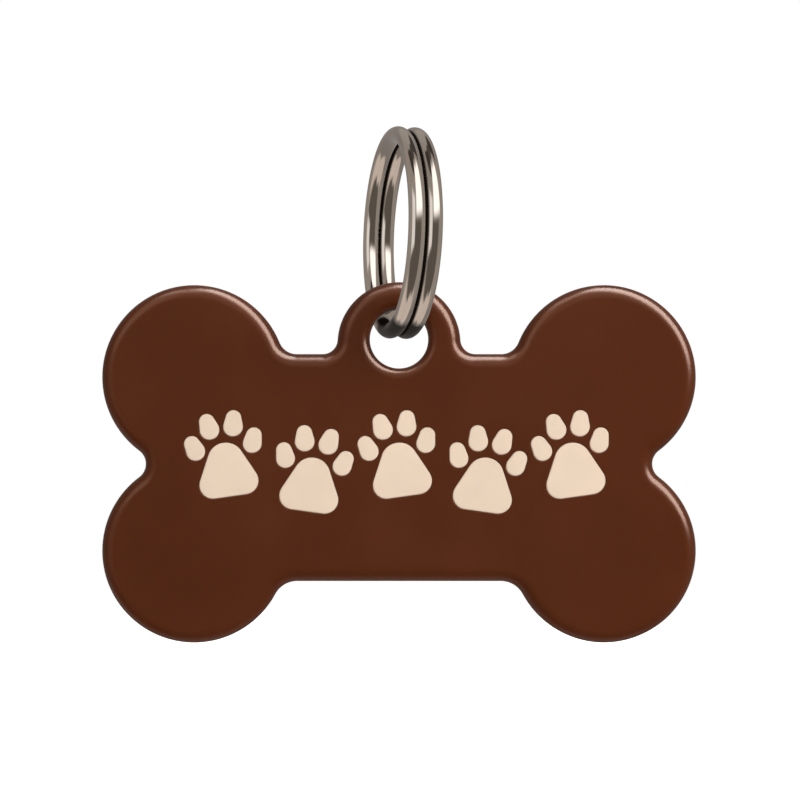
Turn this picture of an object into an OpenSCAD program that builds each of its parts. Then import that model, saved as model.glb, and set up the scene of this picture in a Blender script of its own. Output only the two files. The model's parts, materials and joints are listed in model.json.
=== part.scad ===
// Bone-shaped pet id tag hanging on a split ring.
// Millimetres. The tag faces -Y, +Z is up, and the origin is the point
// inside the top of the ring where it hangs from a collar.

/* [Tag plate] */
// Width of the bone across its lobes
tag_w = 40; // [38:0.5:44]
// Height of the bone over its lobes
tag_h = 24.1; // [23:0.1:25.5]
// Thickness of the plate
tag_t = 1.9; // [1.6:0.1:2.2]
// How much the radius of the plate's round rim is over half its thickness
rim_extra = 0.05; // [0.03:0.01:0.2]
// Radius of each of the four lobes
lobe_r = 6.2; // [5.9:0.1:6.5]
// Height of the bar's top edge above the bone's centre
bar_rise = 7.4; // [7:0.1:7.8]
// Depth of the bar's bottom edge below the bone's centre
bar_drop = 7.9; // [7.4:0.1:8.2]
// Radius of the fillets between the top edge and the lobes
top_fillet_r = 1.25; // [1:0.05:1.5]
// Radius of the fillets between the bottom edge and the lobes
bottom_fillet_r = 1.7; // [1.2:0.1:2]
// Radius of the notch between the two lobes of a side
waist_r = 1.1; // [0.9:0.05:1.4]

/* [Hanging ear] */
// Radius of the ear on top of the bar
ear_r = 4.15; // [4:0.05:4.4]
// Height of the ear's centre above the bone's centre
ear_rise = 8.1; // [7.8:0.1:8.4]
// Radius of the fillets between the ear and the top edge
ear_fillet_r = 1; // [0.8:0.05:1.2]
// Diameter of the hole for the ring
hole_d = 3.94; // [3.7:0.02:4.2]
// Height of the hole above the ear's centre
hole_rise = 0.3; // [0:0.05:0.5]
// Radius of the hole's eased edges
hole_edge_r = 0.7; // [0.3:0.05:0.75]

/* [Split ring] */
// Outer diameter of the ring
ring_od = 14.2; // [13:0.1:16]
// Diameter of its wire
wire_d = 1.1; // [0.9:0.05:1.2]
// Gap between the two turns, which lie against each other
turn_gap = 0.03; // [0.02:0.01:0.1]
// Length of ring that the wire takes to cross from one turn to the other
crossing_len = 2; // [2:0.1:3]
// Room between a cut end and the crossing
end_room = 0.3; // [0.3:0.05:0.8]
// Angle from the ring's lowest point round to the crossing, at the back
crossing_angle = 34; // [30:1:60]
// Turn of the ring's plane away from square to the tag
ring_yaw = 14; // [0:1:20]
// Lean of the ring to one side
ring_lean = 1; // [0:0.1:3]
// Room between the wire and the hole's wall that hangs on it
seat_gap = 0.55; // [0.3:0.05:0.55]

/* [Paw prints] */
// Number of prints in the row
paw_count = 5; // [1:1:5]
// Width of a print over its outer toes
paw_w = 5.3; // [5:0.05:5.4]
// Gap between a print and the next
paw_gap = 0.5; // [0.4:0.05:0.7]
// Height of the row's middle above the bone's centre
paw_rise = -0.1; // [-0.4:0.05:0.3]
// How far alternate prints sit above and below the row's middle
paw_step = 0.5; // [0:0.05:0.7]
// Tilt of alternate prints to the left and right
paw_tilt = 8; // [0:1:12]
// Depth of the pockets that hold the enamel
pocket_depth = 0.35; // [0.2:0.05:0.6]
// Gap between the enamel and its pocket
fill_gap = 0.01; // [0.01:0.005:0.03]

/* [Hidden] */
$fa = 3;
$fs = 0.08;
// How far a cut runs past the face it opens
overrun = 0.5;
rim_r = tag_t / 2 + rim_extra;
// How far the webs in the bone's inner corners lie under the rims they run into
web_sink = 0.02;
// How far those webs reach in from their edge
web_reach = 2.2 * rim_r;
// How far the hole's eased edges rise past the faces, so that they meet them crisply
edge_lift = 0.1 * hole_edge_r;
// How far the straight sides of a pad lie inside the rounds that they join
side_sink = 0.01;

// The bone, about its centre, with X to the right and Y up
lobe_x = tag_w / 2 - lobe_r;
lobe_y = tag_h / 2 - lobe_r;
lobe_top = [lobe_x, lobe_y];
lobe_bottom = [lobe_x, -lobe_y];
ear = [0, ear_rise];
hole = [0, ear_rise + hole_rise];

// Each concave arc touches two neighbours, which gives its centre
function reach_x(radius, height) = sqrt(pow(radius, 2) - pow(height, 2));
ear_fillet_y = bar_rise + ear_fillet_r;
ear_fillet = [reach_x(ear_r + ear_fillet_r, ear_fillet_y - ear_rise), ear_fillet_y];
top_fillet_y = bar_rise + top_fillet_r;
top_fillet = [lobe_x - reach_x(lobe_r + top_fillet_r, top_fillet_y - lobe_y), top_fillet_y];
waist = [lobe_x + reach_x(lobe_r + waist_r, lobe_y), 0];
bottom_fillet_y = -bar_drop - bottom_fillet_r;
bottom_fillet = [lobe_x - reach_x(lobe_r + bottom_fillet_r, bottom_fillet_y + lobe_y), bottom_fillet_y];

function aim(from, to) = atan2(to.y - from.y, to.x - from.x);
function turned(angle) = [cos(angle), sin(angle)];
ear_side = aim(ear, ear_fillet);
lobe_inner = aim(lobe_top, top_fillet);
lobe_waist = aim(lobe_top, waist);
lobe_lower = aim(lobe_bottom, bottom_fillet) + 360;

// The ring, about its own centre, with its angles from the lowest point to the back
ring_mid_r = (ring_od - wire_d) / 2;
ring_in_r = ring_od / 2 - wire_d;
turn_pitch = wire_d + turn_gap;
degrees_per_mm = 180 / (PI * ring_mid_r);
crossing_start = crossing_angle - crossing_len * degrees_per_mm / 2;
crossing_end = crossing_angle + crossing_len * degrees_per_mm / 2;
wire_start = crossing_end + end_room * degrees_per_mm;
wire_end = crossing_start + 720 - end_room * degrees_per_mm;
// Steps along one turn of the wire, and sides of its section
turn_steps = 80;
wire_sides = 12;
wire_steps = ceil((wire_end - wire_start) * turn_steps / 360);

// The hole's wall lies seat_gap over the outer of the two wires
wall_len = tag_t - 2 * hole_edge_r;
wire_reach = turn_pitch / 2 / cos(ring_yaw) + wall_len / 2 * tan(ring_yaw);
wire_rise = reach_x(hole_d / 2 - wire_d / 2 - seat_gap, wire_reach);
ring_up = [sin(ring_lean) * cos(ring_yaw), sin(ring_lean) * sin(ring_yaw), cos(ring_lean)];
ring_bottom = -(ring_in_r + ring_mid_r) * ring_up;
hinge = ring_bottom - [0, ring_bottom.y, wire_rise];

// A print, as shares of its width: the middle and radius of each round of a pad
heel_shares = [[-0.2, -0.31, 0.175], [0.2, -0.31, 0.175], [0, -0.035, 0.235]];
inner_toe_shares = [[0.15, 0.385, 0.125], [0.17, 0.49, 0.1]];
outer_toe_shares = [[0.36, 0.14, 0.12], [0.395, 0.24, 0.1]];

function flipped(spots) = [for (s = spots) [-s.x, s.y, s.z]];
pads = [heel_shares, flipped(outer_toe_shares), flipped(inner_toe_shares),
    inner_toe_shares, outer_toe_shares];
pad_names = ["heel", "toe_1", "toe_2", "toe_3", "toe_4"];

paw_pitch = paw_w + paw_gap;
function paw_side(i) = i % 2 == 0 ? 1 : -1;
function paw_place(i) = [(i - (paw_count - 1) / 2) * paw_pitch, paw_rise + paw_side(i) * paw_step];
function pad_node(i, k) = str("paw_", i + 1, "_", pad_names[k]);

// The plate's section from x = 0 out to a round edge at reach
module rim_section(reach) {
    intersection() {
        translate([0, -tag_t / 2]) square([reach, tag_t]);
        union() {
            translate([0, -rim_r]) square([reach - rim_r, 2 * rim_r]);
            translate([reach - rim_r, 0]) circle(rim_r);
        }
    }
}

module disc(centre, radius) {
    translate(centre) rotate_extrude() rim_section(radius);
}

// A concave stretch of rim about the centre of a fillet or notch, with the web behind it
module web(centre, radius, from, to) {
    translate(centre) rotate(from) rotate_extrude(angle = to - from)
        translate([radius + web_sink + web_reach, 0]) mirror([1, 0]) rim_section(web_reach);
}

// The bar between the lobes, with a round rim along its top and bottom edges
module bar() {
    translate([-lobe_x, 0, 0]) rotate([90, 0, 90]) linear_extrude(2 * lobe_x) {
        rim_section(bar_rise);
        mirror([1, 0]) rim_section(bar_drop);
    }
}

// The strip between the two notches, which carries the bar's thickness out to their rims
module waist_strip() {
    cube([2 * (waist.x - waist_r - rim_r), 2 * (lobe_r - lobe_y + rim_r), tag_t], center = true);
}

module both_sides() {
    children();
    mirror([1, 0, 0]) children();
}

module bone() {
    bar();
    waist_strip();
    disc(ear, ear_r);
    both_sides() {
        disc(lobe_top, lobe_r);
        disc(lobe_bottom, lobe_r);
        web(ear_fillet, ear_fillet_r, 180 + ear_side, 270);
        web(top_fillet, top_fillet_r, 270, 180 + lobe_inner);
        web(waist, waist_r, 180 + lobe_waist, 180 - lobe_waist);
        web(bottom_fillet, bottom_fillet_r, lobe_lower - 180, 90);
    }
}

// What is cut for the ring: a straight wall with an eased edge at each face
module hole_cut() {
    edge_x = hole_d / 2 + hole_edge_r;
    edge_y = wall_len / 2 + edge_lift;
    translate(hole) rotate_extrude() difference() {
        translate([0, -tag_t / 2 - overrun]) square([edge_x - edge_lift, tag_t + 2 * overrun]);
        for (side = [-1, 1]) translate([edge_x, side * edge_y]) circle(hole_edge_r);
        translate([hole_d / 2, -edge_y]) square([hole_edge_r, 2 * edge_y]);
    }
}

// A pad's outline: rounds joined by the straight lines that run along them outside
module pad_outline(spots, grow = 0) {
    count = len(spots);
    sides = [for (i = [0:count - 1])
        let (a = spots[i], b = spots[(i + 1) % count], away = norm([b.x - a.x, b.y - a.y]))
            aim(a, b) - acos((a.z - b.z) / away)];
    for (s = spots) translate([s.x, s.y] * paw_w) circle(s.z * paw_w + grow);
    polygon([for (i = [0:count - 1], s = [spots[i], spots[(i + 1) % count]])
        [s.x, s.y] * paw_w + (s.z * paw_w + grow - side_sink) * turned(sides[i])]);
}

// Places a print on the front of the bone
module on_paw(i) {
    translate(paw_place(i)) rotate(paw_side(i) * paw_tilt) children();
}

// Stands the bone up under the ring: its front, +Z here, comes to face -Y
module hung() {
    translate(hinge) rotate([90, 0, 0]) translate(-hole) children();
}

module tag_plate() {
    color("#5a2f1d") hung() difference() {
        bone();
        hole_cut();
        for (i = [0:paw_count - 1], k = [0:len(pads) - 1])
            on_paw(i) translate([0, 0, tag_t / 2 - pocket_depth])
                linear_extrude(pocket_depth + overrun) pad_outline(pads[k], fill_gap);
    }
}

module paw_pad(i, k) {
    color("#ecd6bf") hung() on_paw(i) translate([0, 0, tag_t / 2 - pocket_depth + fill_gap])
        linear_extrude(pocket_depth - fill_gap) pad_outline(pads[k]);
}

// How far across to the second turn the wire has come at an angle, from 0 to 1
function crossed(angle) =
    let (share = min(max((angle - crossing_start - 360) / (crossing_end - crossing_start), 0), 1))
        share * share * (3 - 2 * share);

function outward(angle) = [sin(angle), -cos(angle), 0];
function wire_point(angle) = ring_mid_r * outward(angle) + [0, 0, turn_pitch * (crossed(angle) - 0.5)];
function wire_angle(i) = min(wire_start + 360 * i / turn_steps, wire_end);

// The wire's round section at one step, square to its run there
function wire_section(i) =
    let (angle = wire_angle(i), out = outward(angle), run = wire_point(angle + 1) - wire_point(angle - 1),
        across = cross(run / norm(run), out))
        [for (k = [0:wire_sides - 1])
            wire_point(angle) + wire_d / 2 * (turned(360 * k / wire_sides) * [out, across])];

// The least distance between the surfaces of the two turns, over all steps of the wire
wire_line = [for (i = [0:wire_steps]) wire_point(wire_angle(i))];
least_gap = min([for (i = [0:wire_steps], k = [i + turn_steps / 2:wire_steps])
    norm(wire_line[k] - wire_line[i])]) - wire_d;
echo(str("Least gap between the turns of the ring: ", least_gap, " mm"));

// One wire of two turns, which crosses from the first turn to the second between its two cut ends
module split_ring() {
    points = [for (i = [0:wire_steps]) each wire_section(i)];
    start_cap = [for (k = [1:wire_sides - 2]) [0, k, k + 1]];
    end_cap = [for (face = start_cap) [face.x, face.z, face.y] + [1, 1, 1] * wire_steps * wire_sides];
    walls = [for (i = [0:wire_steps - 1], k = [0:wire_sides - 1])
        let (a = i * wire_sides + k, b = i * wire_sides + (k + 1) % wire_sides)
            each [[a, b + wire_sides, b], [a, a + wire_sides, b + wire_sides]]];
    color("#bdb5ae") rotate([0, 0, ring_yaw]) rotate([0, ring_lean, 0])
        translate([0, 0, -ring_in_r]) rotate([90, 0, 90])
            polyhedron(points, concat(start_cap, end_cap, walls));
}

tag_plate();
split_ring();
for (i = [0:paw_count - 1], k = [0:len(pads) - 1])
    paw_pad(i, k);
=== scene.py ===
"""Looks for the bone-shaped pet id tag on its split ring.

Everything is in metres in the CAD model's frame: the tag faces -Y, +Z is up, and the origin is the
point inside the top of the ring. Sizes are written in millimetres and turned into metres by MM.
"""
import json
import math

import bpy
import numpy as np
from mathutils import Matrix, Vector
from mathutils.geometry import delaunay_2d_cdt


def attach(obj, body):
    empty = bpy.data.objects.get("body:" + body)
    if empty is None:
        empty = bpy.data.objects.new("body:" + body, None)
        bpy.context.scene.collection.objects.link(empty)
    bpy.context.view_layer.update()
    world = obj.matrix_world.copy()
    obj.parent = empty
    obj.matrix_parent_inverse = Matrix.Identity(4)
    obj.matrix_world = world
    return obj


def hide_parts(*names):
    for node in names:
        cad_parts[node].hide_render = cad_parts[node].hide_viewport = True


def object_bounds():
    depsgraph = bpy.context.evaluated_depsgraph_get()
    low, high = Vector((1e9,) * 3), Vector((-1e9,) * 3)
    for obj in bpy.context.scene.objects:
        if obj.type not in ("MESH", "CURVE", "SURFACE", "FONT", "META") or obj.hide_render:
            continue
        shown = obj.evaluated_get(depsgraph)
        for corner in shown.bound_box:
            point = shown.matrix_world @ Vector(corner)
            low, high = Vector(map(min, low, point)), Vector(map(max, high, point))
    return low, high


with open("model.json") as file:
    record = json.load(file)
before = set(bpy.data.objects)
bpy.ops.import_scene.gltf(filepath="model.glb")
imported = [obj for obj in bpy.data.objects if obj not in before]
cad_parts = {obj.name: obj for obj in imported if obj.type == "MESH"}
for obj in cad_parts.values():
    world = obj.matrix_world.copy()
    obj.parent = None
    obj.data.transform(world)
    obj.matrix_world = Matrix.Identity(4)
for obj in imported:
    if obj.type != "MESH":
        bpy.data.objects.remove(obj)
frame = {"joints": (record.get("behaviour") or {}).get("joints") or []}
cad_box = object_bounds()

MM = 0.001

# Tag plate: the bone, about its own centre
TAG_W = 40.0
TAG_H = 24.1
TAG_T = 1.9
LOBE_R = 6.2
BAR_RISE = 7.4
BAR_DROP = 7.9
TOP_FILLET_R = 1.25
BOTTOM_FILLET_R = 1.7
WAIST_R = 1.1
EAR_R = 4.15
EAR_RISE = 8.1
EAR_FILLET_R = 1.0
HOLE_D = 3.94
HOLE_RISE = 0.3
HOLE_EDGE_R = 0.7
# How far in from its outline the plate's rounded rim reaches
RIM_REACH = 0.95
# Height of the front face over the plate's middle
FACE = TAG_T / 2

# Split ring
RING_OD = 14.2
WIRE_D = 1.1
TURN_GAP = 0.03
CROSSING_LEN = 2.0
END_ROOM = 0.3
CROSSING_ANGLE = 34.0
RING_YAW = 14.0
RING_LEAN = 1.0
RING_MID_R = (RING_OD - WIRE_D) / 2
# Radius that breaks the edge of the wire's cut ends
CUT_EDGE_R = 0.09

# Paw prints
PAW_COUNT = 5
PAW_W = 5.3
PAW_GAP = 0.5
PAW_RISE = -0.1
PAW_STEP = 0.5
PAW_TILT = 8.0
POCKET_DEPTH = 0.35
FILL_GAP = 0.01
# Radius of the pocket's mouth, and of the enamel's own edge
MOUTH_R = 0.04
PAD_EDGE_R = 0.07
# How far the enamel's edge lies under the plate's face, how far its middle rises again, and over
# what width it does
PAD_SINK = 0.015
PAD_CROWN = 0.006
PAD_SHOULDER = 0.34

# A print, as shares of its width: the middle and radius of each round of a pad
HEEL_SHARES = [(-0.2, -0.31, 0.175), (0.2, -0.31, 0.175), (0, -0.035, 0.235)]
INNER_TOE_SHARES = [(0.15, 0.385, 0.125), (0.17, 0.49, 0.1)]
OUTER_TOE_SHARES = [(0.36, 0.14, 0.12), (0.395, 0.24, 0.1)]

# How finely the meshes follow the shapes: lengths of a step, and numbers of steps
OUTLINE_STEP = 0.14
PAD_STEP = 0.07
GRID_STEP = 0.7
PAD_GRID_STEP = 0.35
LEAST_ARC_STEPS = 6
LEAST_PAD_STEPS = 4
RIM_STEPS = 26
HOLE_EDGE_STEPS = 9
MOUTH_STEPS = 3
PAD_EDGE_STEPS = 5
PAD_CROWN_STEPS = 4
CUT_EDGE_STEPS = 4
TURN_STEPS = 300
WIRE_SIDES = 32
# Width of the strip of flat beside each rounded edge, which keeps the flat's shading clean
BORDER = 0.05
# Degrees round the ring: how far from the cut ends the even sections keep, and how far to each side
# of a section the wire's run is measured
END_CLEAR = 1.5
RUN_REACH = 0.5
# Distances under which points of the outline are one point, and under which a point lies on a line
# for the triangles
SAME_POINT = 1e-6
ON_LINE = 1e-7

# Materials. A pair holds at the low and at the high of a noise, most of which lies in NOISE_SPAN.
# Factors say how many times as bright the colour is. Grains are counted to the metre.
NOISE_SPAN = (0.3, 0.7)

BROWN = (0.078, 0.0185, 0.0056)
BROWN_FACTORS = (0.94, 1.06)
COAT_ROUGHNESS = (0.23, 0.27)
COAT_SPECULAR = 0.16
COAT_SPECULAR_TINT = (1.0, 0.76, 0.64)
CLOUD_GRAINS = 160
PEEL_GRAINS = 5200
PEEL_HEIGHT = 0.0009

CREAM = (0.74, 0.602, 0.475)
CREAM_FACTORS = (0.975, 1.02)
ENAMEL_ROUGHNESS = (0.42, 0.5)
ENAMEL_SPECULAR = 0.4
MOTTLE_GRAINS = 420
ENAMEL_GRAINS = 2600
ENAMEL_GRAIN_HEIGHT = 0.0015

NICKEL = (0.60, 0.545, 0.50)
NICKEL_FACTORS = (0.93, 1.05)
WIRE_ROUGHNESS = (0.085, 0.11)
# The marks of drawing: how many there are to a millimetre along the wire and once round it
DRAWN_MARKS = (0.5, 26, 1)
DRAWN_HEIGHT = 0.0004
# Painted shade where the tag hangs: how many times as bright as the plating it is, and how far it
# has lost its metal look
HANG_SHADE_FACTOR = 0.07
HANG_SHADE_SHARE = 0.55
# Painted shade in the groove between the turns and inside them under the ear: its colour, and the
# roughness it adds
PAINTED_SHADE = (0.02, 0.014, 0.01)
PAINTED_SHADE_ROUGHNESS = 0.6

# The wire's map counts round its girth from the ring's outside, in shares: the sides that face the
# other turn before the crossing and after it, and the side that faces the ring's middle
FACING_BEFORE = 0.75
FACING_AFTER = 0.25
INSIDE = 0.5
# The painted shade in the groove between the turns: how far round the wire it is full and where it
# ends, as shares of the wire's girth from the line on which the turns face each other
GROOVE_SHADE_FULL = 0.09
GROOVE_SHADE_END = 0.125
# How much of the crossing is clear of that painted shade, because no turn faces the wire there, as
# a share
CLEAR_END = 0.7
# The stretch where the tag hangs, darkened by painted shade: its middle, in degrees round the ring
# from its lowest point to the back, and how far along the wire from there it is full and where it
# ends
HANG_SHADE_ANGLE = -6.0
HANG_SHADE_FULL = 2.1
HANG_SHADE_END = 2.8
# The painted shade inside the ring under the ear: its middle, how far along the wire from there it
# is full and where it ends, and the same round the wire as shares of its girth from the inside
INNER_SHADE_ANGLE = 10.0
INNER_SHADE_FULL = 1.2
INNER_SHADE_END = 2.2
INNER_SHADE_SIDE_FULL = 0.13
INNER_SHADE_SIDE_END = 0.24

# What the gloss sees of the studio. A row is a panel: left and right bearing, low and high, a soft
# margin outside them, all in degrees, and its tone. It lies over the ones before it.
STUDIO_TONE = (0.30, 0.275, 0.255)
PANELS = [
    (-200, 200, 44, 100, 12, (0.46, 0.42, 0.38)),
    (-122, 122, -62, 60, 10, (0.42, 0.38, 0.34)),
    (-200, 200, -100, -62, 8, (0.82, 0.73, 0.66)),
    (-122, -84, -66, -26, 10, (0.84, 0.74, 0.66)),
    (-62, 56, -66, 4, 12, (0.15, 0.13, 0.11)),
    (-62, -30, -10, 26, 10, (1.15, 1.12, 1.08)),
    (-4, 72, 21, 62, 13, (1.9, 1.88, 1.85)),
    (-95, -18, 58, 84, 8, (0.06, 0.05, 0.045)),
    (110, 165, 52, 84, 8, (0.07, 0.06, 0.055)),
    (-200, 200, 80, 100, 5, (0.10, 0.085, 0.075)),
]
WHITE = (1.0, 1.0, 1.0)
# The plain light of the world on everything
WORLD_LEVEL = 0.2
WORLD_TONE = (1.0, 0.985, 0.97)

# Lamps: name, direction from the tag, distance, width and height in millimetres, watts and tone.
# The soft ones light everything and are kept out of reflections. The rim ones only give the coat
# its gloss.
SOFT_LAMPS = [
    ("key", (0.62, -0.62, 0.66), 260, 120, 120, 0.55, (1.0, 0.96, 0.92)),
    ("front", (-0.1, -1.0, 0.12), 320, 260, 260, 0.32, (1.0, 0.98, 0.96)),
    ("top", (-0.45, -0.3, 1.0), 260, 160, 90, 0.08, (1.0, 0.97, 0.94)),
    ("back", (0.3, 1.0, 0.35), 300, 260, 260, 0.55, (1.0, 0.98, 0.96)),
]
RIM_LAMPS = [
    ("rim_right", (0.57, -0.32, 0.785), 520, 320, 960, 31.0, (1.0, 0.98, 0.96)),
    ("rim_left", (-0.5, -0.6, 0.72), 260, 160, 300, 0.5, (1.0, 0.9, 0.8)),
    ("rim_top", (-0.29, -0.27, 0.90), 300, 150, 100, 0.4, (1.0, 0.94, 0.9)),
]

# The floor, which the tag hangs over. The camera sees FLOOR_GLOW of white on top of its lit colour.
FLOOR_DROP = 46.0
FLOOR_R = 420.0
FLOOR_SIDES = 96
FLOOR_TONE = (0.82, 0.81, 0.80)
FLOOR_GLOW = 0.82

# The photograph: millimetres that it takes in across the tag's middle plane, the distance it was
# taken from, and its middle, to the right of and above the middle of the bone
VIEW_W = 53.96
VIEW_DISTANCE = 102.0
VIEW_X = 0.067
VIEW_Z = 4.304
# How near and how far the camera sees
CLIP_NEAR = 5.1
CLIP_FAR = 4080.0


def polar(radius, degrees):
    """The point at that radius and angle about the origin."""
    return np.array([math.cos(math.radians(degrees)), math.sin(math.radians(degrees))]) * radius


def aim(start, end):
    """The angle of the way from start to end, in degrees."""
    return math.degrees(math.atan2(end[1] - start[1], end[0] - start[0]))


def reach_x(radius, height):
    """How far to the side a circle about the origin reaches at that height."""
    return math.sqrt(radius ** 2 - height ** 2)


# Centres of the arcs, which touch each other as they do in the solid
LOBE_X = TAG_W / 2 - LOBE_R
LOBE_Y = TAG_H / 2 - LOBE_R
LOBE_TOP = (LOBE_X, LOBE_Y)
LOBE_BOTTOM = (LOBE_X, -LOBE_Y)
EAR = (0.0, EAR_RISE)
HOLE = (0.0, EAR_RISE + HOLE_RISE)
EAR_FILLET = (
    reach_x(EAR_R + EAR_FILLET_R, BAR_RISE + EAR_FILLET_R - EAR_RISE),
    BAR_RISE + EAR_FILLET_R,
)
TOP_FILLET = (
    LOBE_X - reach_x(LOBE_R + TOP_FILLET_R, BAR_RISE + TOP_FILLET_R - LOBE_Y),
    BAR_RISE + TOP_FILLET_R,
)
WAIST = (LOBE_X + reach_x(LOBE_R + WAIST_R, LOBE_Y), 0.0)
BOTTOM_FILLET = (
    LOBE_X - reach_x(LOBE_R + BOTTOM_FILLET_R, BAR_DROP + BOTTOM_FILLET_R - LOBE_Y),
    -BAR_DROP - BOTTOM_FILLET_R,
)
# The hinge is the middle of the hole
HINGE = Vector(next(j for j in frame["joints"] if j["name"] == "tag_swing")["pos_m"])
BONE_Z = HINGE.z - HOLE[1] * MM


def half_arcs():
    """The right half's arcs from the bottom edge up to the ear: centre, radius, and the angles of
    their start and end. An arc that runs clockwise is a concave one."""
    waist_aim = aim(LOBE_BOTTOM, WAIST)
    return [
        (BOTTOM_FILLET, BOTTOM_FILLET_R, 90, aim(BOTTOM_FILLET, LOBE_BOTTOM)),
        (LOBE_BOTTOM, LOBE_R, aim(LOBE_BOTTOM, BOTTOM_FILLET), waist_aim),
        (WAIST, WAIST_R, waist_aim - 180, -180 - waist_aim),
        (LOBE_TOP, LOBE_R, -waist_aim, aim(LOBE_TOP, TOP_FILLET)),
        (TOP_FILLET, TOP_FILLET_R, aim(TOP_FILLET, LOBE_TOP), -90),
        (EAR_FILLET, EAR_FILLET_R, -90, aim(EAR_FILLET, EAR)),
        (EAR, EAR_R, aim(EAR, EAR_FILLET), 90),
    ]


def bone_outline():
    """Points round the bone's outline and their outward normals, counter-clockwise from the middle
    of the bottom edge."""
    points, normals = [np.array([0.0, -BAR_DROP])], [np.array([0.0, -1.0])]
    for centre, radius, start, end in half_arcs():
        length = math.radians(abs(end - start)) * radius
        steps = max(LEAST_ARC_STEPS, round(length / OUTLINE_STEP))
        side = 1 if end > start else -1
        first = np.array(centre) + polar(radius, start)
        line_steps = round(np.linalg.norm(first - points[-1]) / OUTLINE_STEP)
        for i in range(1, line_steps):
            points.append(points[-1] + (first - points[-1]) / (line_steps + 1 - i))
            normals.append(polar(side, start))
        for angle in np.linspace(start, end, steps + 1):
            points.append(np.array(centre) + polar(radius, angle))
            normals.append(polar(side, angle))
    right = [(points[0], normals[0])]
    for before, point, normal in zip(points, points[1:], normals[1:]):
        if np.linalg.norm(point - before) > SAME_POINT:
            right.append((point, normal))
    flip = np.array([-1.0, 1.0])
    left = [(point * flip, normal * flip) for point, normal in reversed(right[1:-1])]
    return tuple(np.array(column) for column in zip(*(right + left)))


def circle_outline(centre, radius, step):
    """Points round a circle and their outward normals, counter-clockwise."""
    count = round(2 * math.pi * radius / step)
    normals = np.array([polar(1, 360 * i / count) for i in range(count)])
    return np.array(centre) + radius * normals, normals


def pad_outline(spots):
    """Points round a pad of a print and their outward normals: rounds and the lines along them."""
    count = len(spots)
    sides = []
    for i, a in enumerate(spots):
        b = spots[(i + 1) % count]
        away = math.dist(a[:2], b[:2])
        sides.append(aim(a, b) - math.degrees(math.acos((a[2] - b[2]) / away)))
    points, normals = [], []
    for i, (x, y, r) in enumerate(spots):
        start = sides[i - 1]
        sweep = (sides[i] - start) % 360
        steps = max(LEAST_PAD_STEPS, round(math.radians(sweep) * r * PAW_W / PAD_STEP))
        for k in range(steps + 1):
            normals.append(polar(1, start + sweep * k / steps))
            points.append(np.array([x, y]) * PAW_W + r * PAW_W * normals[-1])
    return np.array(points), np.array(normals)


def flipped(spots):
    """A pad's rounds for the print's other side, still counter-clockwise."""
    return [(-x, y, r) for x, y, r in reversed(spots)]


PADS = {
    "heel": HEEL_SHARES,
    "toe_1": flipped(OUTER_TOE_SHARES),
    "toe_2": flipped(INNER_TOE_SHARES),
    "toe_3": INNER_TOE_SHARES,
    "toe_4": OUTER_TOE_SHARES,
}


def on_paw(index, points, normals):
    """Moves a pad's outline to its place in one print of the row, on the bone."""
    side = 1 if index % 2 == 0 else -1
    turn = np.column_stack([polar(1, side * PAW_TILT), polar(1, side * PAW_TILT + 90)])
    along = (index - (PAW_COUNT - 1) / 2) * (PAW_W + PAW_GAP)
    place = np.array([along, PAW_RISE + side * PAW_STEP])
    return points @ turn.T + place, normals @ turn.T


def lies_inside(points, loops):
    """Whether each point lies inside the area that the outer loop and its holes bound."""
    inside = np.zeros(len(points), bool)
    for loop in loops:
        for (x0, y0), (x1, y1) in zip(loop, np.roll(loop, -1, axis=0)):
            spans = (points[:, 1] < y0) != (points[:, 1] < y1)
            if spans.any():
                at = x0 + (points[spans, 1] - y0) / (y1 - y0) * (x1 - x0)
                inside[spans] ^= points[spans, 0] < at
    return inside


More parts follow.
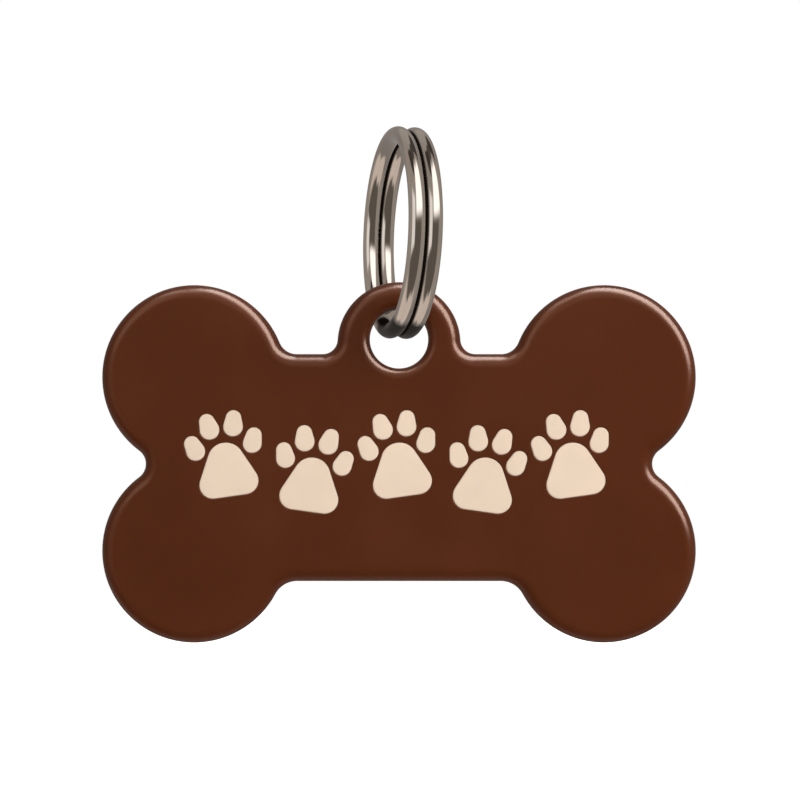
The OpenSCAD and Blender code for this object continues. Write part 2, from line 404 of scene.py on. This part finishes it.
class Shell:
    """Gathers one closed piece as loops of points, in millimetres on the bone: X to the right, Y up
    and Z to the front."""

    def __init__(self):
        self.points = []
        self.faces = []

    def loop(self, flat, height):
        """Adds flat points at one height. The result is their numbers."""
        first = len(self.points)
        self.points += [(x, y, height) for x, y in flat]
        return range(first, len(self.points))

    def skin(self, loops, turned=False):
        """Joins each of a row of loops of one length to the next. Seen from outside, the next one
        lies to the left, or to the right where turned."""
        for a, b in zip(loops, loops[1:]):
            if turned:
                a, b = b, a
            for i, start in enumerate(a):
                j = (i + 1) % len(a)
                self.faces.append((start, a[j], b[j], b[i]))

    def cap(self, loops, height, grid, front=True):
        """Fills the area inside the first loop and outside the others with triangles, on a grid of
        even triangles that keeps half a step away from the loops."""
        flat = [np.array([self.points[i][:2] for i in loop]) for loop in loops]
        edge_points = np.vstack(flat)
        low, high = flat[0].min(axis=0), flat[0].max(axis=0)
        rows = np.arange(low[1], high[1], grid * math.sqrt(0.75))
        columns = np.arange(low[0], high[0], grid)
        spots = [(x + (r % 2) * grid / 2, y) for r, y in enumerate(rows) for x in columns]
        inner = np.array(spots).reshape(-1, 2)
        inner = inner[lies_inside(inner, flat)]
        away = [np.min(np.linalg.norm(edge_points - p, axis=1)) for p in inner]
        inner = inner[np.array(away) > grid / 2] if len(inner) else inner
        ids = [i for loop in loops for i in loop] + list(self.loop(inner, height))
        edges, first = [], 0
        for loop in flat:
            edges += [(first + i, first + (i + 1) % len(loop)) for i in range(len(loop))]
            first += len(loop)

        # The triangles cover all that lies between the points, and the ones in the area are kept
        given = [Vector(p) for p in edge_points] + [Vector(p) for p in inner]
        verts, _, faces, origins, _, _ = delaunay_2d_cdt(given, edges, [], 0, ON_LINE)
        middles = np.array([np.mean([verts[i][:] for i in face], axis=0) for face in faces])
        for face, kept in zip(faces, lies_inside(middles, flat)):
            if kept:
                corners = [ids[origins[i][0]] for i in face]
                self.faces.append(tuple(corners if front else reversed(corners)))

    def build(self, name, material, body, node):
        """Makes the piece, stood up under the ring, in place of its CAD node."""
        flat = np.array(self.points)
        place = np.column_stack([
            HINGE.x + (flat[:, 0] - HOLE[0]) * MM,
            HINGE.y - flat[:, 2] * MM,
            HINGE.z + (flat[:, 1] - HOLE[1]) * MM,
        ])
        return piece(name, place, self.faces, material, body, node)


def piece(name, points, faces, material, body, node):
    """A smooth mesh that rides on a body and stands for a CAD node. No gloss shows it."""
    mesh = bpy.data.meshes.new(name)
    mesh.from_pydata([tuple(p) for p in points], [], faces)
    mesh.validate()
    mesh.shade_smooth()
    mesh.materials.append(material)
    obj = bpy.data.objects.new(name, mesh)
    obj.visible_glossy = False
    bpy.context.scene.collection.objects.link(obj)
    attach(obj, body)
    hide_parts(node)
    return obj


def quarter(steps):
    """Sine and cosine pairs through a quarter turn, both ends included."""
    return [(math.sin(a), math.cos(a)) for a in np.linspace(0, math.pi / 2, steps + 1)]


def rounded_mouth(radius, steps):
    """The profile of an opening's edge in the front face, from the face down: how far outside the
    opening, and the height."""
    return [(radius * (1 - s), FACE - radius * (1 - c)) for s, c in quarter(steps)]


def tag_plate(material):
    """The bone with its rounded rim, the eased hole and a pocket for each pad of the prints."""
    shell = Shell()

    # The rim, from the front flat round to the back one
    points, normals = bone_outline()
    rim = [shell.loop(points - normals * (RIM_REACH + BORDER), FACE)]
    for angle in np.linspace(math.pi / 2, -math.pi / 2, RIM_STEPS + 1):
        inset = normals * RIM_REACH * (1 - math.cos(angle))
        rim.append(shell.loop(points - inset, FACE * math.sin(angle)))
    rim.append(shell.loop(points - normals * (RIM_REACH + BORDER), -FACE))
    shell.skin(rim, turned=True)

    # The hole, from the front flat through to the back one
    around, outward = circle_outline(HOLE, HOLE_D / 2, OUTLINE_STEP)
    mouth = rounded_mouth(HOLE_EDGE_R, HOLE_EDGE_STEPS)
    bore = [shell.loop(around + outward * (HOLE_EDGE_R + BORDER), FACE)]
    for out, height in mouth + [(out, -height) for out, height in reversed(mouth)]:
        bore.append(shell.loop(around + outward * out, height))
    bore.append(shell.loop(around + outward * (HOLE_EDGE_R + BORDER), -FACE))
    shell.skin(bore)

    # The pockets, each with a softened mouth
    pocket_floor = FACE - POCKET_DEPTH
    profile = [(MOUTH_R + BORDER, FACE)] + rounded_mouth(MOUTH_R, MOUTH_STEPS) + [(0, pocket_floor)]
    pockets = []
    for index in range(PAW_COUNT):
        for spots in PADS.values():
            edge, out = on_paw(index, *pad_outline(spots))
            loops = [shell.loop(edge + out * (FILL_GAP + grow), height) for grow, height in profile]
            shell.skin(loops)
            shell.cap([loops[-1]], pocket_floor, GRID_STEP)
            pockets.append(loops[0])

    shell.cap([rim[0], bore[0]] + pockets, FACE, GRID_STEP)
    shell.cap([rim[-1], bore[-1]], -FACE, GRID_STEP, front=False)
    return shell.build("plate_body", material, "tag", "tag_plate")


def paw_pad(index, name, material):
    """One enamel fill, with a softened edge and a low crown."""
    shell = Shell()
    edge, out = on_paw(index, *pad_outline(PADS[name]))
    base = FACE - POCKET_DEPTH + FILL_GAP
    top = FACE - PAD_SINK
    profile = [(0, base)]
    for s, c in quarter(PAD_EDGE_STEPS):
        profile.append((-PAD_EDGE_R * (1 - c), top - PAD_EDGE_R * (1 - s)))
    for s, c in quarter(PAD_CROWN_STEPS)[1:]:
        profile.append((-PAD_EDGE_R - PAD_SHOULDER * s, top + PAD_CROWN * (1 - c)))
    loops = [shell.loop(edge + out * grow, height) for grow, height in profile]
    shell.skin(loops)
    shell.cap([loops[-1]], top + PAD_CROWN, PAD_GRID_STEP)
    shell.cap([loops[0]], base, GRID_STEP, front=False)
    node = f"paw_{index + 1}_{name}"
    shell.build(f"enamel_{index + 1}_{name}", material, "tag", node)


def split_ring(material):
    """One wire of two turns, which crosses from the first to the second between its cut ends. Its
    angles are in degrees round the ring, from the lowest point to the back."""
    pitch = WIRE_D + TURN_GAP
    per_mm = 180 / (math.pi * RING_MID_R)
    crossing_start = CROSSING_ANGLE - CROSSING_LEN * per_mm / 2
    crossing_end = CROSSING_ANGLE + CROSSING_LEN * per_mm / 2
    wire_start = crossing_end + END_ROOM * per_mm
    wire_end = crossing_start + 720 - END_ROOM * per_mm

    def outward(angle):
        return np.array([0.0, math.sin(math.radians(angle)), -math.cos(math.radians(angle))])

    def centre(angle):
        """The wire's middle, about the ring's own."""
        share = (angle - crossing_start - 360) / (crossing_end - crossing_start)
        share = min(max(share, 0), 1)
        shift = pitch * (share * share * (3 - 2 * share) - 0.5)
        return RING_MID_R * outward(angle) + np.array([shift, 0, 0])

    # The sections: at each cut end the wire's edge is broken by a quarter round
    cut = []
    for s, c in quarter(CUT_EDGE_STEPS):
        cut.append((CUT_EDGE_R * (1 - c) * per_mm, WIRE_D / 2 - CUT_EDGE_R * (1 - s)))
    sections = [(wire_start + along, radius) for along, radius in cut]
    for angle in np.arange(wire_start, wire_end, 360 / TURN_STEPS):
        if wire_start + END_CLEAR < angle < wire_end - END_CLEAR:
            sections.append((angle, WIRE_D / 2))
    sections += [(wire_end - along, radius) for along, radius in reversed(cut)]

    points, around = [], np.linspace(0, 2 * math.pi, WIRE_SIDES, endpoint=False)
    for angle, radius in sections:
        run = centre(angle + RUN_REACH) - centre(angle - RUN_REACH)
        out = outward(angle)
        across = np.cross(run / np.linalg.norm(run), out)
        for a in around:
            points.append(centre(angle) + radius * (math.cos(a) * out + math.sin(a) * across))
    last = len(sections) - 1
    points += [centre(sections[0][0]), centre(sections[-1][0])]
    faces = []
    for i in range(last):
        for k in range(WIRE_SIDES):
            a, b = i * WIRE_SIDES + k, i * WIRE_SIDES + (k + 1) % WIRE_SIDES
            faces.append((a, b, b + WIRE_SIDES, a + WIRE_SIDES))
    for k in range(WIRE_SIDES):
        j = (k + 1) % WIRE_SIDES
        faces.append((j, k, len(points) - 2))
        faces.append((last * WIRE_SIDES + k, last * WIRE_SIDES + j, len(points) - 1))

    # Hung from the origin, leant and turned as in the solid
    stand = (
        Matrix.Rotation(math.radians(RING_YAW), 4, "Z")
        @ Matrix.Rotation(math.radians(RING_LEAN), 4, "Y")
        @ Matrix.Translation((0, 0, -(RING_OD / 2 - WIRE_D)))
    )
    place = [stand @ Vector(p) * MM for p in points]
    obj = piece("ring_wire", place, faces, material, "ring", "split_ring")

    # The first coordinate runs along the wire in millimetres, and the second once round it
    layer = obj.data.uv_layers.new(name="along")
    for poly in obj.data.polygons:
        for corner, vertex in zip(poly.loop_indices, poly.vertices):
            step, side = divmod(min(vertex, last * WIRE_SIDES + WIRE_SIDES - 1), WIRE_SIDES)
            wraps = side == 0 and any(v % WIRE_SIDES == WIRE_SIDES - 1 for v in poly.vertices)
            along = math.radians(sections[step][0]) * RING_MID_R
            layer.data[corner].uv = (along, 1.0 if wraps else side / WIRE_SIDES)


class Tree:
    """A node tree whose nodes are added by short calls."""

    def __init__(self, tree):
        self.nodes = tree.nodes
        self.links = tree.links

    def feed(self, value, socket):
        """Links another node's output to a socket, or sets a number or a colour on it."""
        if isinstance(value, bpy.types.NodeSocket):
            self.links.new(value, socket)
        else:
            socket.default_value = (*value, 1) if isinstance(value, tuple) else value

    def math(self, operation, *values):
        """The result of one operation."""
        node = self.nodes.new("ShaderNodeMath")
        node.operation = operation
        for socket, value in zip(node.inputs, values):
            self.feed(value, socket)
        return node.outputs[0]

    def ranged(self, value, low, high, to_low, to_high, kind="LINEAR"):
        """value, taken from between low and high to between to_low and to_high."""
        node = self.nodes.new("ShaderNodeMapRange")
        node.interpolation_type = kind
        limits = {"From Min": low, "From Max": high, "To Min": to_low, "To Max": to_high}
        for key, number in limits.items():
            node.inputs[key].default_value = number
        self.links.new(value, node.inputs["Value"])
        return node.outputs["Result"]

    def mixed(self, share, colour, other):
        """colour, with that share of the other one in it."""
        node = self.nodes.new("ShaderNodeMix")
        node.data_type = "RGBA"
        self.links.new(share, node.inputs["Factor"])
        self.feed(colour, node.inputs["A"])
        self.feed(other, node.inputs["B"])
        return node.outputs["Result"]


class Surface(Tree):
    """A Principled material."""

    def __init__(self, name):
        self.material = bpy.data.materials.new(name)
        self.material.use_nodes = True
        super().__init__(self.material.node_tree)
        self.shader = self.nodes["Principled BSDF"]
        self.place = self.nodes.new("ShaderNodeTexCoord")

    def set(self, key, value):
        """Links one of the shader's inputs, or sets a number or a colour on it."""
        self.feed(value, self.shader.inputs[key])

    def noise(self, output, scale, detail, roughness=0.5):
        """Noise over the coordinates of that kind, after they are multiplied by scale."""
        mapping = self.nodes.new("ShaderNodeMapping")
        mapping.inputs["Scale"].default_value = scale
        self.links.new(self.place.outputs[output], mapping.inputs["Vector"])
        node = self.nodes.new("ShaderNodeTexNoise")
        node.inputs["Scale"].default_value = 1.0
        node.inputs["Detail"].default_value = detail
        node.inputs["Roughness"].default_value = roughness
        self.links.new(mapping.outputs["Vector"], node.inputs["Vector"])
        return node.outputs["Fac"]

    def grains(self, count, detail):
        """Even noise of about that many grains to the metre."""
        return self.noise("Object", (count, count, count), detail)

    def shaded(self, noise, colour, factors):
        """colour, made lighter and darker by a noise."""
        node = self.nodes.new("ShaderNodeValToRGB")
        for element, position, factor in zip(node.color_ramp.elements, NOISE_SPAN, factors):
            element.position = position
            element.color = (*tinted(colour, factor), 1)
        self.links.new(noise, node.inputs["Fac"])
        return node.outputs["Color"]

    def bump(self, value, height):
        """Raises the surface by up to height."""
        node = self.nodes.new("ShaderNodeBump")
        node.inputs["Strength"].default_value = 1.0
        node.inputs["Distance"].default_value = height * MM
        self.links.new(value, node.inputs["Height"])
        self.set("Normal", node.outputs["Normal"])


def tinted(colour, factor):
    """colour, that many times as bright."""
    return tuple(channel * factor for channel in colour)


def brown_coat():
    """Satin brown coat with a fine orange-peel skin."""
    surface = Surface("brown_coat")
    surface.set("Specular IOR Level", COAT_SPECULAR)
    surface.set("Specular Tint", COAT_SPECULAR_TINT)
    cloud = surface.grains(CLOUD_GRAINS, detail=4)
    surface.set("Base Color", surface.shaded(cloud, BROWN, BROWN_FACTORS))
    surface.set("Roughness", surface.ranged(cloud, *NOISE_SPAN, *COAT_ROUGHNESS))
    surface.bump(surface.grains(PEEL_GRAINS, detail=2), PEEL_HEIGHT)
    return surface.material


def cream_enamel():
    """Smooth cream enamel with a faint mottle."""
    surface = Surface("cream_enamel")
    surface.set("Specular IOR Level", ENAMEL_SPECULAR)
    mottle = surface.grains(MOTTLE_GRAINS, detail=5)
    surface.set("Base Color", surface.shaded(mottle, CREAM, CREAM_FACTORS))
    surface.set("Roughness", surface.ranged(mottle, *NOISE_SPAN, *ENAMEL_ROUGHNESS))
    surface.bump(surface.grains(ENAMEL_GRAINS, detail=3), ENAMEL_GRAIN_HEIGHT)
    return surface.material


def ring_painted_shade(surface):
    """The shares of painted shade: in the groove between the turns and inside them under the ear,
    and on the darkened, less metal stretch where the tag hangs. Both are read from the wire's own
    map."""
    split = surface.nodes.new("ShaderNodeSeparateXYZ")
    surface.links.new(surface.place.outputs["UV"], split.inputs[0])
    along, around = split.outputs["X"], split.outputs["Y"]

    def away(value, middle):
        return surface.math("ABSOLUTE", surface.math("SUBTRACT", value, middle))

    def stretch(angle, full, end):
        """1 on both turns near that angle round the ring, and 0 beyond end along the wire."""
        past = surface.math("SUBTRACT", along, math.radians(angle) * RING_MID_R)
        from_middle = surface.math("PINGPONG", past, math.pi * RING_MID_R)
        return surface.ranged(from_middle, full, end, 1, 0)

    # The groove changes sides over the crossing, and has an end on each side of it
    middle = math.radians(CROSSING_ANGLE + 360) * RING_MID_R
    crossed = surface.ranged(along, middle - CROSSING_LEN / 2, middle + CROSSING_LEN / 2, 0, 1)
    facing = surface.ranged(crossed, 0, 1, FACING_BEFORE, FACING_AFTER)
    # Painted shade in the groove between the turns
    groove = surface.ranged(away(around, facing), GROOVE_SHADE_FULL, GROOVE_SHADE_END, 1, 0)
    from_middle = surface.math("MULTIPLY", away(crossed, 0.5), 2)
    groove = surface.math("MULTIPLY", groove, surface.ranged(from_middle, CLEAR_END, 1, 0, 1))

    # Painted shade inside the ring under the ear
    inside = surface.ranged(away(around, INSIDE), INNER_SHADE_SIDE_FULL, INNER_SHADE_SIDE_END, 1, 0)
    inner_shade = surface.math("MULTIPLY", inside, stretch(INNER_SHADE_ANGLE, INNER_SHADE_FULL, INNER_SHADE_END))
    painted_shade = surface.math("MAXIMUM", groove, inner_shade)
    # Painted shade, dark and less metal, on the stretch where the tag hangs
    return painted_shade, stretch(HANG_SHADE_ANGLE, HANG_SHADE_FULL, HANG_SHADE_END)


def nickel_wire():
    """Drawn and nickel-plated wire: polished, with fine marks along it, and painted shade in the
    groove, under the ear and where the tag hangs.
    """
    surface = Surface("nickel_wire")
    surface.set("Specular IOR Level", 0.0)
    drawn = surface.noise("UV", DRAWN_MARKS, detail=4, roughness=0.6)
    painted_shade, hang_shade = ring_painted_shade(surface)
    plating = surface.shaded(drawn, NICKEL, NICKEL_FACTORS)
    # Painted shade: the plating darkens where the tag hangs, and turns near-black in the groove and
    # under the ear
    metal = surface.mixed(hang_shade, plating, tinted(NICKEL, HANG_SHADE_FACTOR))
    surface.set("Base Color", surface.mixed(painted_shade, metal, PAINTED_SHADE))
    covered = surface.math("MAXIMUM", painted_shade, surface.math("MULTIPLY", hang_shade, HANG_SHADE_SHARE))
    surface.set("Metallic", surface.math("SUBTRACT", 1.0, covered))
    polish = surface.ranged(drawn, *NOISE_SPAN, *WIRE_ROUGHNESS)
    rough = surface.math("MULTIPLY", painted_shade, PAINTED_SHADE_ROUGHNESS)
    surface.set("Roughness", surface.math("ADD", polish, rough))
    surface.bump(drawn, DRAWN_HEIGHT)
    return surface.material


def studio_world():
    """White behind the tag, a plain level of light on it, and panels that only its gloss sees."""
    world = bpy.data.worlds.new("studio")
    bpy.context.scene.world = world
    world.use_nodes = True
    world.cycles.sampling_method = "NONE"
    tree = Tree(world.node_tree)
    tree.nodes.clear()

    # Where a way points, in degrees: round from the camera to the right, and up
    way = tree.nodes.new("ShaderNodeSeparateXYZ")
    tree.links.new(tree.nodes.new("ShaderNodeTexCoord").outputs["Generated"], way.inputs[0])
    toward = tree.math("MULTIPLY", way.outputs["Y"], -1)
    bearing = tree.math("DEGREES", tree.math("ARCTAN2", way.outputs["X"], toward))
    height = tree.math("DEGREES", tree.math("ARCSINE", way.outputs["Z"]))

    def within(value, low, high, soft):
        """1 between low and high and 0 beyond soft outside them."""
        away = tree.math("ABSOLUTE", tree.math("SUBTRACT", value, (low + high) / 2))
        half = (high - low) / 2
        return tree.ranged(away, half + soft, half, 0, 1, "SMOOTHSTEP")

    def background(colour, strength=1.0):
        node = tree.nodes.new("ShaderNodeBackground")
        tree.feed(colour, node.inputs["Color"])
        tree.feed(strength, node.inputs["Strength"])
        return node.outputs[0]

    def chosen(share, shader, other):
        """shader, or the other one where share is 1."""
        node = tree.nodes.new("ShaderNodeMixShader")
        for value, socket in zip((share, shader, other), node.inputs):
            tree.links.new(value, socket)
        return node.outputs[0]

    studio = STUDIO_TONE
    for left, right, low, high, soft, tone in PANELS:
        across = within(bearing, left, right, soft)
        panel = tree.math("MULTIPLY", across, within(height, low, high, soft))
        studio = tree.mixed(panel, studio, tone)

    rays = tree.nodes.new("ShaderNodeLightPath").outputs
    seen = tree.math("MAXIMUM", rays["Is Camera Ray"], rays["Is Transmission Ray"])
    plain = background(WORLD_TONE, WORLD_LEVEL)
    unseen = chosen(rays["Is Glossy Ray"], plain, background(studio))
    out = tree.nodes.new("ShaderNodeOutputWorld")
    tree.links.new(chosen(seen, unseen, background(WHITE)), out.inputs["Surface"])


def lamp(name, direction, distance, width, height, watts, tone):
    """An area lamp that shines on the middle of the bone and isn't seen itself."""
    light = bpy.data.lights.new(name, "AREA")
    light.shape = "RECTANGLE"
    light.size = width * MM
    light.size_y = height * MM
    light.energy = watts
    light.color = tone
    obj = bpy.data.objects.new(name, light)
    aimed = Vector(direction).normalized()
    obj.location = Vector((HINGE.x, 0, BONE_Z)) + aimed * distance * MM
    obj.rotation_mode = "QUATERNION"
    obj.rotation_quaternion = aimed.to_track_quat("Z", "Y")
    obj.visible_camera = False
    bpy.context.scene.collection.objects.link(obj)
    return obj


def lamps(coated):
    """The studio's lamps. coated is the piece that the rim lamps are for."""
    for row in SOFT_LAMPS:
        lamp(*row).visible_glossy = False
    only = bpy.data.collections.new("coated")
    only.objects.link(coated)
    for row in RIM_LAMPS:
        rim = lamp(*row)
        rim.visible_diffuse = False
        rim.light_linking.receiver_collection = only
        rim.light_linking.blocker_collection = only


def floor():
    """A round pale floor that keeps the tag's shadow and looks white where it is lit."""
    z = cad_box[0].z - FLOOR_DROP * MM
    ring = [(*polar(FLOOR_R * MM, 360 * i / FLOOR_SIDES), z) for i in range(FLOOR_SIDES)]
    mesh = bpy.data.meshes.new("floor")
    mesh.from_pydata(ring, [], [tuple(range(FLOOR_SIDES))])
    material = bpy.data.materials.new("floor_pale")
    material.use_nodes = True
    mesh.materials.append(material)
    obj = bpy.data.objects.new("floor", mesh)
    obj.visible_glossy = False
    bpy.context.scene.collection.objects.link(obj)

    tree = Tree(material.node_tree)
    tree.nodes.clear()
    diffuse = tree.nodes.new("ShaderNodeBsdfDiffuse")
    tree.feed(FLOOR_TONE, diffuse.inputs["Color"])
    rays = tree.nodes.new("ShaderNodeLightPath")
    level = tree.math("MULTIPLY", rays.outputs["Is Camera Ray"], FLOOR_GLOW)
    glow = tree.nodes.new("ShaderNodeEmission")
    tree.feed(level, glow.inputs["Strength"])
    both = tree.nodes.new("ShaderNodeAddShader")
    tree.links.new(diffuse.outputs[0], both.inputs[0])
    tree.links.new(glow.outputs[0], both.inputs[1])
    out = tree.nodes.new("ShaderNodeOutputMaterial")
    tree.links.new(both.outputs[0], out.inputs["Surface"])


def camera():
    """The photograph's camera: level, square to the tag, and a little above the bone's middle."""
    data = bpy.data.cameras.new("camera")
    data.lens = data.sensor_width * VIEW_DISTANCE / VIEW_W
    data.clip_start = CLIP_NEAR * MM
    data.clip_end = CLIP_FAR * MM
    obj = bpy.data.objects.new("camera", data)
    obj.location = (HINGE.x + VIEW_X * MM, -VIEW_DISTANCE * MM, BONE_Z + VIEW_Z * MM)
    obj.rotation_euler = (math.pi / 2, 0, 0)
    bpy.context.scene.collection.objects.link(obj)
    bpy.context.scene.camera = obj


camera()
enamel = cream_enamel()
plate = tag_plate(brown_coat())
for paw in range(PAW_COUNT):
    for pad in PADS:
        paw_pad(paw, pad, enamel)
split_ring(nickel_wire())

studio_world()
lamps(plate)
floor()
bpy.context.scene.view_settings.view_transform = "Standard"
